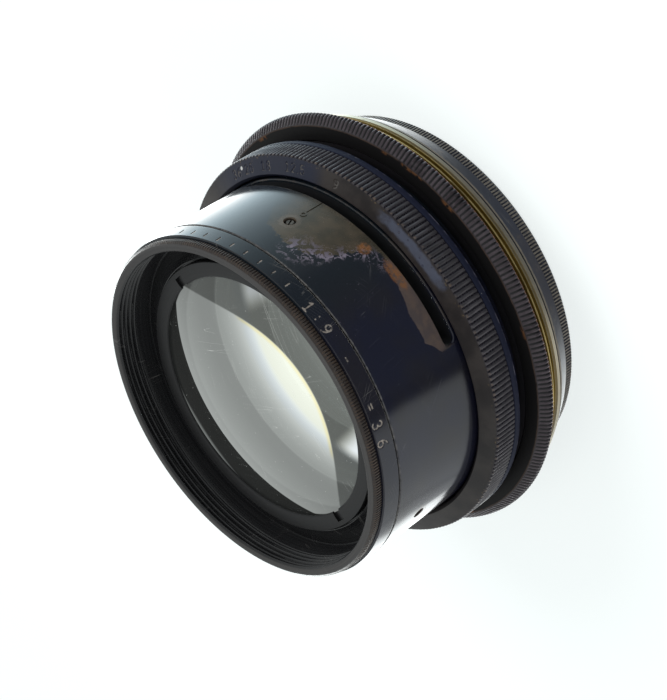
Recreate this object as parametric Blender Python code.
"""Large-format barrel lens with an iris diaphragm and a stop slot, front cell up.

Frame: +Z is the optical axis and points out of the front of the lens, +Y points
to the index mark on the barrel, and +X is to the right for someone who looks into
the front. The origin is on the optical axis in the plane of the rear rim, so the
lens stands on its rear rim. Sizes are in millimetres, and azimuths in degrees
from +X, the index mark being at 90.

A profile is a closed list of (radius, height) pairs, turned about the optical axis.
A pair named ..._Z holds a lower and an upper height.
"""

import bmesh
import bpy
from math import atan2, cos, degrees, hypot, pi, radians, sin, sqrt
from mathutils import Matrix, Vector

MM = 0.001
GAP = 0.3  # clearance between neighbouring pieces
LOOSE_GAP = 0.35  # clearance of the aperture ring on the barrel and of the cells in its bore

OUTER = 48  # facets round the outer pieces
INNER = 40  # facets round the inner pieces
SCREW_FACETS = 12
PIN_FACETS = 8

# ---------------------------------------------------------------- driving sizes
LIP_Z = 50.0  # front rim, which is also the total length
SEAM_Z = 44.4  # joint between the front cell's collar and the barrel
BARREL_R = 34.6  # outside of the lacquered barrel
BORE_R = 31.2  # inside of the barrel
FRONT_THREAD_R = 33.5  # bore that takes the front cell's thread
FRONT_THREAD_END_Z = 40.4
IRIS_SEAT_Z = 20.0  # ledge in the bore that carries the iris
CELL_THREAD_R = BORE_R - LOOSE_GAP  # part of either cell that reaches into the bore

# mount
MOUNT_THREAD_R = 40.2
MOUNT_THREAD_Z = (7.7, 12.2)
MOUNT_RING_R = 42.4  # knurled shoulder that the camera's flange stops against
MOUNT_RING_Z = (MOUNT_THREAD_Z[1] + GAP, 14.9)

# raised band behind the aperture ring, and the ring
SHOULDER_R = 36.2
SHOULDER_TOP_Z = 17.4
RING_R = 39.1
RING_BORE_R = BARREL_R + LOOSE_GAP
RING_Z = (SHOULDER_TOP_Z + GAP, 25.0)
RING_TRAVEL = 42.6  # degrees that the aperture ring turns

# plates of the iris
BASE_Z = (IRIS_SEAT_Z + GAP, 21.1)
CAM_Z = (BASE_Z[1] + GAP, 22.8)
CAM_IN_R = 20.9

# drive screw, opposite the index mark, which couples the aperture ring to the cam ring
DRIVE_AZ = 270.0
DRIVE_Z = sum(CAM_Z) / 2
DRIVE_ROOM_R = 1.25  # radius of the ring's hole and half the height of the barrel's slot
DRIVE_TIP_R = 0.5
DRIVE_HEAD_R = 1.5
DRIVE_HEAD_SEAT = 37.3  # distance of the head's underside from the optical axis

# ---------------------------------------------------------------- scene and materials
for old in list(bpy.data.objects):
    bpy.data.objects.remove(old, do_unlink=True)

FINISHES = {
    "black_lacquer": dict(colour=(0.018, 0.020, 0.032), roughness=0.22, metallic=0.1),
    "satin_black": dict(colour=(0.030, 0.030, 0.032), roughness=0.50, metallic=0.2),
    "matt_black": dict(colour=(0.012, 0.012, 0.013), roughness=0.80, metallic=0.0),
    "worn_knurl": dict(colour=(0.075, 0.058, 0.058), roughness=0.38, metallic=0.7),
    "bare_brass": dict(colour=(0.330, 0.240, 0.070), roughness=0.32, metallic=1.0),
    "iris_steel": dict(colour=(0.060, 0.062, 0.066), roughness=0.45, metallic=0.8),
    "screw_steel": dict(colour=(0.160, 0.140, 0.120), roughness=0.40, metallic=0.9),
    "glass": dict(
        colour=(0.930, 0.950, 0.940), roughness=0.02, metallic=0.0, alpha=0.35, transmission=1.0
    ),
}


def new_material(name, colour, roughness, metallic, alpha=1.0, transmission=0.0):
    made = bpy.data.materials.new(name)
    made.use_nodes = True
    shader = made.node_tree.nodes["Principled BSDF"]
    shader.inputs["Base Color"].default_value = (*colour, 1.0)
    shader.inputs["Roughness"].default_value = roughness
    shader.inputs["Metallic"].default_value = metallic
    shader.inputs["Alpha"].default_value = alpha
    shader.inputs["Transmission Weight"].default_value = transmission
    made.diffuse_color = (*colour, alpha)
    return made


# ---------------------------------------------------------------- objects
SHARP_ANGLE = radians(28)
AXIS_ORIGIN = (0.0, 0.0, 0.0)


def place(name, shape, kind, origin=AXIS_ORIGIN):
    """A new object from a bmesh in millimetres of the world frame, its origin at origin."""
    shape.normal_update()
    bmesh.ops.recalc_face_normals(shape, faces=shape.faces[:])
    at = Vector(origin)
    moved(shape, Matrix.Scale(MM, 4) @ Matrix.Translation(-at))
    mesh = bpy.data.meshes.new(name)
    shape.to_mesh(mesh)
    shape.free()
    mesh.shade_smooth()
    mesh.set_sharp_from_angle(angle=SHARP_ANGLE)
    made = bpy.data.objects.new(name, mesh)
    made.location = at * MM
    material = new_material(f"{name}_{kind}", **FINISHES[kind]) if kind else None
    mesh.materials.append(material)
    bpy.context.scene.collection.objects.link(made)
    return made


def helper(name, shape, origin=AXIS_ORIGIN):
    """An object that only serves a boolean modifier."""
    made = place(name, shape, None, origin)
    made.hide_render = True
    made.display_type = "WIRE"
    return made


def combine(target, tool, operation):
    change = target.modifiers.new(tool.name, "BOOLEAN")
    change.operation = operation
    change.solver = "EXACT"
    change.object = tool


def cut(target, name, shape):
    combine(target, helper(name, shape), "DIFFERENCE")


# ---------------------------------------------------------------- shapes
def turned(profile, facets):
    made = bmesh.new()
    rings = []
    for radius, z in profile:
        if radius == 0.0:
            rings.append([made.verts.new((0.0, 0.0, z))] * facets)
        else:
            rings.append([made.verts.new((x, y, z)) for x, y in circle(0, 0, radius, facets)])
    for j, low in enumerate(rings):
        high = rings[(j + 1) % len(rings)]
        if low[0] is low[1] and high[0] is high[1]:
            continue
        for i in range(facets):
            n = (i + 1) % facets
            # a face that touches the axis has one corner less
            corners = dict.fromkeys((low[i], low[n], high[n], high[i]))
            made.faces.new(list(corners))
    return made


def band(radii, heights):
    """The rectangular profile of a plain ring."""
    return [
        (radii[0], heights[0]),
        (radii[1], heights[0]),
        (radii[1], heights[1]),
        (radii[0], heights[1]),
    ]


def prism(outline, low, high):
    """A flat outline of (x, y) pairs, extruded from height low to height high."""
    made = bmesh.new()
    bottom = [made.verts.new((x, y, low)) for x, y in outline]
    top = [made.verts.new((x, y, high)) for x, y in outline]
    made.faces.new(bottom)
    made.faces.new(top)
    for i in range(len(outline)):
        n = (i + 1) % len(outline)
        made.faces.new((bottom[i], bottom[n], top[n], top[i]))
    return made


def circle(x, y, radius, corners):
    angles = [2 * pi * k / corners for k in range(corners)]
    return [(x + radius * cos(angle), y + radius * sin(angle)) for angle in angles]


def bar(from_x, to_x, half):
    """A rectangular outline centred on the X axis."""
    return [(from_x, -half), (to_x, -half), (to_x, half), (from_x, half)]


def round_slot(path, half, corners=4):
    """The outline of a slot whose middle line is path, with round ends."""
    left, right = [], []
    for i, (x, y) in enumerate(path):
        x0, y0 = path[max(i - 1, 0)]
        x1, y1 = path[min(i + 1, len(path) - 1)]
        run = hypot(x1 - x0, y1 - y0)
        normal_x, normal_y = -(y1 - y0) / run, (x1 - x0) / run
        left.append((x + half * normal_x, y + half * normal_y))
        right.append((x - half * normal_x, y - half * normal_y))

    def cap(centre, start):
        first = atan2(start[1] - centre[1], start[0] - centre[0])
        angles = [first - pi * k / corners for k in range(1, corners)]
        return [(centre[0] + half * cos(a), centre[1] + half * sin(a)) for a in angles]

    return left + cap(path[-1], left[-1]) + right[::-1] + cap(path[0], right[0])


# how a wall slot's round end opens: share of the end's turn, share of the half height
SLOT_END = [(share, sqrt(1 - (1 - share) ** 2)) for share in (0.03, 0.2, 0.55)]
SLOT_STEP = 7.5  # degrees between the stations of a wall slot
WALL_CUT = (29.0, 37.5)  # radii that every cut through the barrel's wall spans


def wall_slot(azimuths, heights):
    """A cutter for a slot round the barrel's wall, with round ends."""
    half = (heights[1] - heights[0]) / 2
    mid = (heights[1] + heights[0]) / 2
    end_turn = degrees(half / (sum(WALL_CUT) / 2))
    start, stop = azimuths[0] + end_turn, azimuths[1] - end_turn
    count = max(2, round((stop - start) / SLOT_STEP))
    stations = [(azimuths[0] + share * end_turn, opening) for share, opening in SLOT_END]
    stations += [(start + (stop - start) * i / count, 1.0) for i in range(count + 1)]
    stations += [(azimuths[1] - share * end_turn, opening) for share, opening in SLOT_END[::-1]]
    inner, outer = WALL_CUT
    made = bmesh.new()
    loops = []
    for azimuth, opening in stations:
        across, up = cos(radians(azimuth)), sin(radians(azimuth))
        loops.append(
            [
                made.verts.new((radius * across, radius * up, mid + side * half * opening))
                for radius, side in ((inner, -1), (outer, -1), (outer, 1), (inner, 1))
            ]
        )
    made.faces.new(loops[0])
    made.faces.new(loops[-1])
    for low, high in zip(loops, loops[1:]):
        for k in range(4):
            n = (k + 1) % 4
            made.faces.new((low[k], low[n], high[n], high[k]))
    return made


def joined(parts):
    """Several shapes in one mesh."""
    made = bmesh.new()
    for part in parts:
        bmesh.ops.recalc_face_normals(part, faces=part.faces[:])
        held = bpy.data.meshes.new("held")
        part.to_mesh(held)
        part.free()
        made.from_mesh(held)
        bpy.data.meshes.remove(held)
    return made


def moved(shape, matrix):
    bmesh.ops.transform(shape, matrix=matrix, verts=shape.verts[:])
    return shape


def spun(shape, azimuth):
    """The shape turned about the optical axis."""
    return moved(shape, Matrix.Rotation(radians(azimuth), 4, "Z"))


def laid(shape, azimuth, z):
    """The shape with its +Z axis laid outward along the radius at azimuth and height z."""
    lift = Matrix.Translation((0.0, 0.0, z))
    return moved(
        shape,
        lift @ Matrix.Rotation(radians(azimuth), 4, "Z") @ Matrix.Rotation(pi / 2, 4, "Y"),
    )


def radial_rod(radius, reach, azimuth, z):
    """A round cutter along a radius; reach is its two distances from the optical axis."""
    return laid(prism(circle(0, 0, radius, SCREW_FACETS), *reach), azimuth, z)


# ---------------------------------------------------------------- screws
DRIVER_SLOT_DEPTH = 0.6
LOCK_SCREW_R = 0.8
LOCKS = ((90.9, 35.3), (-20.0, 36.9))  # azimuth and height of the two lock screws


def slotted_screw(name, sections, azimuth, z, slot_width):
    """A screw of (radius, from, to) sections along a radius, with a driver slot."""
    profile = [(0.0, sections[0][1])]
    for radius, start, stop in sections:
        profile += [(radius, start), (radius, stop)]
    profile.append((0.0, sections[-1][2]))
    made = place(name, laid(turned(profile, SCREW_FACETS), azimuth, z), "screw_steel")
    head_r, _, top = sections[-1]
    reach, half = head_r + 1, slot_width / 2
    outline = [(-half, -reach), (half, -reach), (half, reach), (-half, reach)]
    tool = prism(outline, top - DRIVER_SLOT_DEPTH, top + 1)
    cut(made, "cut_" + name, laid(tool, azimuth, z))


def make_screws():
    for i, (azimuth, z) in enumerate(LOCKS):
        sections = [(LOCK_SCREW_R, 31.1, 34.45)]
        slotted_screw(f"barrel_lock_screw_{i + 1}", sections, azimuth, z, slot_width=0.3)
    sections = [
        (DRIVE_TIP_R, 29.4, 31.0),
        (0.9, 31.0, DRIVE_HEAD_SEAT),
        (DRIVE_HEAD_R, DRIVE_HEAD_SEAT, 38.8),
    ]
    slotted_screw("iris_drive_screw", sections, DRIVE_AZ, DRIVE_Z, slot_width=0.4)


# ---------------------------------------------------------------- barrel
# stop slot: a plate with a fixed hole slides in here
STOP_SLOT_Z = (24.9, 27.4)
STOP_SLOT_AZ = (32.6, 125.8)
DRIVE_END_ROOM = 1.3  # the drive slot's length past the screw's axis at each end

LEDGE_Z = (14.7, 16.2)  # inward ledge behind the blades
LEDGE_R = 26.0
BLADE_ROOM_R = 30.2

BARREL_PROFILE = [
    (FRONT_THREAD_R, SEAM_Z - GAP / 2),
    (BARREL_R, SEAM_Z - GAP / 2),
    (BARREL_R, SHOULDER_TOP_Z),
    (SHOULDER_R, 17.3),
    (SHOULDER_R, MOUNT_RING_Z[1]),
    (BARREL_R, MOUNT_RING_Z[1]),
    (BARREL_R, MOUNT_THREAD_Z[0]),
    (BORE_R, MOUNT_THREAD_Z[0]),
    (BORE_R, LEDGE_Z[0]),
    (LEDGE_R, LEDGE_Z[0]),
    (LEDGE_R, LEDGE_Z[1]),
    (BLADE_ROOM_R, LEDGE_Z[1]),
    (BLADE_ROOM_R, IRIS_SEAT_Z),
    (BORE_R, IRIS_SEAT_Z),
    (BORE_R, FRONT_THREAD_END_Z),
    (FRONT_THREAD_R, FRONT_THREAD_END_Z),
]


def make_barrel():
    barrel = place("main_barrel", turned(BARREL_PROFILE, OUTER), "black_lacquer")
    cut(barrel, "cut_stop_slot", wall_slot(STOP_SLOT_AZ, STOP_SLOT_Z))
    end_turn = degrees(DRIVE_END_ROOM / BARREL_R)
    drive_slot = wall_slot(
        (DRIVE_AZ - RING_TRAVEL - end_turn, DRIVE_AZ + end_turn),
        (DRIVE_Z - DRIVE_ROOM_R, DRIVE_Z + DRIVE_ROOM_R),
    )
    cut(barrel, "cut_drive_slot", drive_slot)
    lock_holes = [radial_rod(LOCK_SCREW_R + GAP, WALL_CUT, azimuth, z) for azimuth, z in LOCKS]
    cut(barrel, "cut_lock_holes", joined(lock_holes))


# ---------------------------------------------------------------- front cell
FRONT_BORE_R = 26.7
FRONT_GLASS_R = FRONT_BORE_R - GAP
FRONT_SEAT_R = 27.7  # wider bore for the retaining ring
FRONT_RETAINER_R = FRONT_SEAT_R - GAP
NOTCH_AZ = 141.0  # one spanner notch, the other being opposite

FRONT_CELL_PROFILE = [
    (32.4, LIP_Z),
    (33.4, LIP_Z),
    (34.0, 49.5),
    (34.0, 48.3),
    (34.35, 48.1),
    (BARREL_R, SEAM_Z + GAP / 2),
    (FRONT_THREAD_R - GAP, SEAM_Z + GAP / 2),
    (FRONT_THREAD_R - GAP, FRONT_THREAD_END_Z + GAP),
    (CELL_THREAD_R, FRONT_THREAD_END_Z + GAP),
    (CELL_THREAD_R, 28.2),
    (FRONT_BORE_R, 28.2),
    (FRONT_BORE_R, 42.7),
    (FRONT_SEAT_R, 42.7),
    (FRONT_SEAT_R, 43.6),
    (31.6, 42.0),
    (31.9, 45.4),
    (31.9, 49.6),
]
FRONT_RETAINER_PROFILE = [
    (24.3, 43.85),
    (26.5, 43.3),
    (FRONT_RETAINER_R, 43.05),
    (FRONT_RETAINER_R, 44.3),
    (24.3, 44.3),
]


def make_front_cell():
    place("front_cell", turned(FRONT_CELL_PROFILE, OUTER), "black_lacquer")
    spacer = band((24.9, FRONT_GLASS_R), (37.6, 40.8))
    place("spacer_ring", turned(spacer, INNER), "matt_black")
    second_retainer = band((24.2, FRONT_GLASS_R), (28.4, 29.6))
    place("second_retaining_ring", turned(second_retainer, INNER), "matt_black")


def make_front_retaining_ring():
    retainer = place("front_retaining_ring", turned(FRONT_RETAINER_PROFILE, INNER), "satin_black")
    notches = [
        spun(prism(bar(23.5, 26.4, half=1.1), 43.75, 45.0), azimuth)
        for azimuth in (NOTCH_AZ, NOTCH_AZ + 180)
    ]
    cut(retainer, "cut_spanner_notches", joined(notches))


# ---------------------------------------------------------------- rear cell
REAR_BORE_R = 25.8
REAR_GLASS_R = REAR_BORE_R - GAP
REAR_SEAT_R = 28.4  # wider bore for the retaining ring
REAR_SEAT_Z = (3.0, 4.7)
REAR_FLANGE_R = 39.3

REAR_CELL_PROFILE = [
    (CELL_THREAD_R, 14.3),
    (CELL_THREAD_R, MOUNT_THREAD_Z[0] - GAP),
    (REAR_FLANGE_R, MOUNT_THREAD_Z[0] - GAP),
    (REAR_FLANGE_R, 6.6),
    (37.0, 2.5),
    (36.5, 2.2),
    (36.5, 0.3),
    (36.2, 0.0),
    (31.4, 0.0),
    (REAR_SEAT_R, REAR_SEAT_Z[0]),
    (REAR_SEAT_R, REAR_SEAT_Z[1]),
    (REAR_BORE_R, REAR_SEAT_Z[1]),
    (REAR_BORE_R, 13.8),
    (24.4, 13.8),
    (24.4, 14.3),
]


def make_rear_cell():
    place("rear_cell", turned(REAR_CELL_PROFILE, OUTER), "black_lacquer")
    retainer = band((24.3, REAR_SEAT_R - GAP), (REAR_SEAT_Z[0] + GAP, REAR_SEAT_Z[1] - GAP))
    place("rear_retaining_ring", turned(retainer, INNER), "satin_black")


# ---------------------------------------------------------------- glass
# name, front face, rear face, edge radius, radius where the rear face ends in a flat rim;
# a face is (vertex height, radius of curvature)
ELEMENTS = [
    ("front_element", (46.6, 95.0), (40.6, -600.0), FRONT_GLASS_R, None),
    ("second_element", (35.8, -230.0), (33.2, 90.0), FRONT_GLASS_R, 24.0),
    ("rear_negative_element", (12.2, -250.0), (9.95, 90.0), REAR_GLASS_R, None),
    ("rear_positive_element", (9.9, 90.0), (2.6, -150.0), REAR_GLASS_R, None),
]
FACE_STEPS = 4


def face_point(face, distance):
    """Profile point of a spherical face; a positive radius curves down from the vertex."""
    vertex, radius = face
    sag = abs(radius) - sqrt(radius * radius - distance * distance)
    return distance, vertex - sag if radius > 0 else vertex + sag


def lens_profile(front, rear, edge_r, rim_r):
    reach = rim_r or edge_r
    profile = [(0.0, rear[0])]
    profile += [face_point(rear, reach * i / FACE_STEPS) for i in range(1, FACE_STEPS + 1)]
    if rim_r:
        profile.append((edge_r, profile[-1][1]))
    profile += [face_point(front, edge_r * i / FACE_STEPS) for i in range(FACE_STEPS, 0, -1)]
    profile.append((0.0, front[0]))
    return profile


def make_glass():
    for name, *sizes in ELEMENTS:
        place(name, turned(lens_profile(*sizes), INNER), "glass")


# ---------------------------------------------------------------- aperture ring, turns about +Z
RING_PROFILE = [
    (RING_BORE_R, RING_Z[0]),
    (38.8, RING_Z[0]),
    (RING_R, 18.0),
    (RING_R, 23.8),
    (38.9, 23.95),
    (35.6, RING_Z[1]),
    (RING_BORE_R, 24.4),
]


def make_aperture_ring():
    origin = (0.0, 0.0, DRIVE_Z)
    ring = place("aperture_ring", turned(RING_PROFILE, OUTER), "black_lacquer", origin)
    shank_hole = radial_rod(DRIVE_ROOM_R, (33.0, 38.0), DRIVE_AZ, DRIVE_Z)
    cut(ring, "cut_drive_hole", shank_hole)
    head_hole = radial_rod(DRIVE_HEAD_R + GAP, (DRIVE_HEAD_SEAT - GAP, 41.0), DRIVE_AZ, DRIVE_Z)
    cut(ring, "cut_drive_head", head_hole)


# ---------------------------------------------------------------- iris blades
BLADES = 12
PIVOT_R = 27.6  # circle of the pivot pins
OPEN_R = 20.3  # blade's inner arc, and so the full opening
BLADE_OUT_R = 29.1
BLADE_BACK = radians(50.0)  # from a blade's middle to its pivot
BLADE_TIP = radians(40.0)  # from a blade's middle to its free end
PIN_APART = radians(18.0)  # from pivot pin to drive pin
BLADE_TILT = radians(4.2)  # each blade leans over one neighbour and under the other
TILT_LINE = radians(35.0)  # from a blade's middle to the line it leans about
BLADE_TRAVEL = radians(32.0)  # how far a blade swings
BLADE_Z = 17.95  # where the blades' planes meet the optical axis
BLADE_T = 0.1
BLADE_STEPS = 9  # steps along each arc of a blade
TIP_BULGE = 0.06  # radians that the middle of the free end stands out
TAIL = 1.9  # length of the blade behind its pivot
PIN_R = 0.5
PIVOT_PIN_TOP = 1.0  # pin tops, above the middle of the blade's thickness
DRIVE_PIN_TOP = 2.75


def on_pivot_circle(angle):
    return Vector((PIVOT_R * cos(angle), PIVOT_R * sin(angle), 0))


def about_z(angle):
    return Matrix.Rotation(angle, 3, "Z")


PIVOT = on_pivot_circle(-BLADE_BACK)
DRIVE_PIN = on_pivot_circle(PIN_APART - BLADE_BACK)
LEAN = Matrix.Rotation(-BLADE_TILT, 3, Vector((cos(TILT_LINE), sin(TILT_LINE), 0)))
AZIMUTHS = [2 * pi * k / BLADES for k in range(BLADES)]


def blade_outline():
    span = BLADE_BACK + BLADE_TIP
    arc = [-BLADE_BACK + span * i / BLADE_STEPS for i in range(BLADE_STEPS + 1)]
    tail = -BLADE_BACK - TAIL / PIVOT_R
    polar = [(OPEN_R, angle) for angle in arc]
    polar.append(((OPEN_R + BLADE_OUT_R) / 2, BLADE_TIP + TIP_BULGE))
    polar += [(BLADE_OUT_R, angle) for angle in arc[::-1]]
    polar += [(BLADE_OUT_R - 0.6, tail), (PIVOT_R - 1.4, tail)]
    return [(radius * cos(angle), radius * sin(angle)) for radius, angle in polar]


def first_blade(name):
    """A flat blade with its origin at its pivot, its two pins merged on top."""
    sheet = prism(blade_outline(), -BLADE_T / 2, BLADE_T / 2)
    blade = place(name, sheet, "iris_steel", PIVOT)
    pins = [
        prism(circle(pin.x, pin.y, PIN_R, PIN_FACETS), -BLADE_T / 4, top)
        for pin, top in ((PIVOT, PIVOT_PIN_TOP), (DRIVE_PIN, DRIVE_PIN_TOP))
    ]
    tool = helper("blade_pins", joined(pins), PIVOT)
    combine(blade, tool, "UNION")
    bpy.context.view_layer.update()
    graph = bpy.context.evaluated_depsgraph_get()
    merged = bpy.data.meshes.new_from_object(blade.evaluated_get(graph), depsgraph=graph)
    blade.modifiers.clear()
    blade.data = merged
    bpy.data.objects.remove(tool, do_unlink=True)
    return blade


def make_blades():
    """All the blades share the first one's mesh."""
    blades = [first_blade("iris_blade_01")]
    for k in range(1, BLADES):
        blade = bpy.data.objects.new(f"iris_blade_{k + 1:02d}", blades[0].data)
        bpy.context.scene.collection.objects.link(blade)
        blades.append(blade)
    for blade, azimuth in zip(blades, AZIMUTHS):
        attitude = about_z(azimuth) @ LEAN
        home = Vector((0, 0, BLADE_Z)) + attitude @ PIVOT
        blade.matrix_world = Matrix.LocRotScale(home * MM, attitude.to_quaternion(), None)


# ---------------------------------------------------------------- iris plates
IRIS_R = BORE_R - GAP
PIN_HOLE_R = PIN_R + 0.3
CAM_STEPS = 6  # steps along a cam slot, an even number
CUT_PAST = 0.5  # how far the pin holes' cutters pass a plate's faces


def pin_at(pin, swing, height, azimuth):
    """Where the pin's axis crosses height, for the blade at azimuth after a swing."""
    at = LEAN @ (PIVOT + about_z(swing) @ (pin - PIVOT))
    normal = LEAN @ Vector((0, 0, 1))
    rise = height - BLADE_Z - at.z
    at = about_z(azimuth) @ (at + normal * (rise / normal.z))
    return at.x, at.y


def through(outline, heights):
    """A cutter through a plate."""
    return prism(outline, heights[0] - CUT_PAST, heights[1] + CUT_PAST)


SWINGS = [BLADE_TRAVEL * i / CAM_STEPS for i in range(CAM_STEPS + 1)]


def make_base_plate():
    """The fixed plate: a hole for each pivot pin, an arc slot for each drive pin."""
    base = place("iris_base_plate", turned(band((CAM_IN_R, IRIS_R), BASE_Z), OUTER), "matt_black")
    middle = sum(BASE_Z) / 2
    holes, tracks = [], []
    for azimuth in AZIMUTHS:
        x, y = pin_at(PIVOT, 0.0, middle, azimuth)
        holes.append(through(circle(x, y, PIN_HOLE_R, PIN_FACETS), BASE_Z))
        path = [pin_at(DRIVE_PIN, swing, middle, azimuth) for swing in SWINGS[::2]]
        tracks.append(through(round_slot(path, PIN_HOLE_R), BASE_Z))
    cut(base, "cut_base_holes", joined(holes + tracks))


def make_cam_ring():
    middle = sum(CAM_Z) / 2
    profile = band((CAM_IN_R, 30.8), CAM_Z)
    cam = place("iris_cam_ring", turned(profile, OUTER), "matt_black", (0.0, 0.0, middle))
    # the ring turns against the blades' swing, so its slot is the pin's path carried
    # back with the ring
    ring_per_swing = radians(RING_TRAVEL) / BLADE_TRAVEL
    slots = []
    for azimuth in AZIMUTHS:
        path = [
            pin_at(DRIVE_PIN, swing, middle, azimuth + swing * ring_per_swing)
            for swing in SWINGS
        ]
        slots.append(through(round_slot(path, PIN_HOLE_R), CAM_Z))
    # notch in the rim for the drive screw's tip
    notch = prism(bar(29.0, 32.0, half=DRIVE_TIP_R + GAP), CAM_Z[0] - 1, CAM_Z[1] + 1)
    cut(cam, "cut_cam_slots", joined(slots + [spun(notch, DRIVE_AZ)]))


def make_iris_retaining_ring():
    profile = band((28.9, IRIS_R), (CAM_Z[1] + GAP, 24.3))
    place("iris_retaining_ring", turned(profile, INNER), "matt_black")


# ---------------------------------------------------------------- mount
SLEEVE_BORE_R = BARREL_R + GAP
SLEEVE_NECK_R = 37.5
SLEEVE_TOP_Z = MOUNT_RING_Z[1] - GAP
RING_NECK_R = SLEEVE_NECK_R + GAP
# relieved next to the thread, so that a flange seats on the outer face alone
RELIEF = 0.3
RELIEF_R = MOUNT_THREAD_R + RELIEF

SLEEVE_PROFILE = [
    (SLEEVE_BORE_R, MOUNT_THREAD_Z[0]),
    (39.8, MOUNT_THREAD_Z[0]),
    (MOUNT_THREAD_R, 8.1),
    (MOUNT_THREAD_R, MOUNT_THREAD_Z[1]),
    (SLEEVE_NECK_R, MOUNT_THREAD_Z[1]),
    (SLEEVE_NECK_R, SLEEVE_TOP_Z),
    (SLEEVE_BORE_R, SLEEVE_TOP_Z),
]
MOUNT_RING_PROFILE = [
    (RING_NECK_R, MOUNT_RING_Z[0] + RELIEF),
    (RELIEF_R, MOUNT_RING_Z[0] + RELIEF),
    (RELIEF_R, MOUNT_RING_Z[0]),
    (MOUNT_RING_R, MOUNT_RING_Z[0]),
    (MOUNT_RING_R, 13.7),
    (40.9, MOUNT_RING_Z[1]),
    (RING_NECK_R, MOUNT_RING_Z[1]),
]


def make_mount():
    place("mount_thread_sleeve", turned(SLEEVE_PROFILE, OUTER), "bare_brass")
    place("shoulder_ring", turned(MOUNT_RING_PROFILE, OUTER), "worn_knurl")


make_barrel()
make_screws()
make_front_cell()
make_front_retaining_ring()
make_rear_cell()
make_glass()
make_aperture_ring()
make_blades()
make_base_plate()
make_cam_ring()
make_iris_retaining_ring()
make_mount()
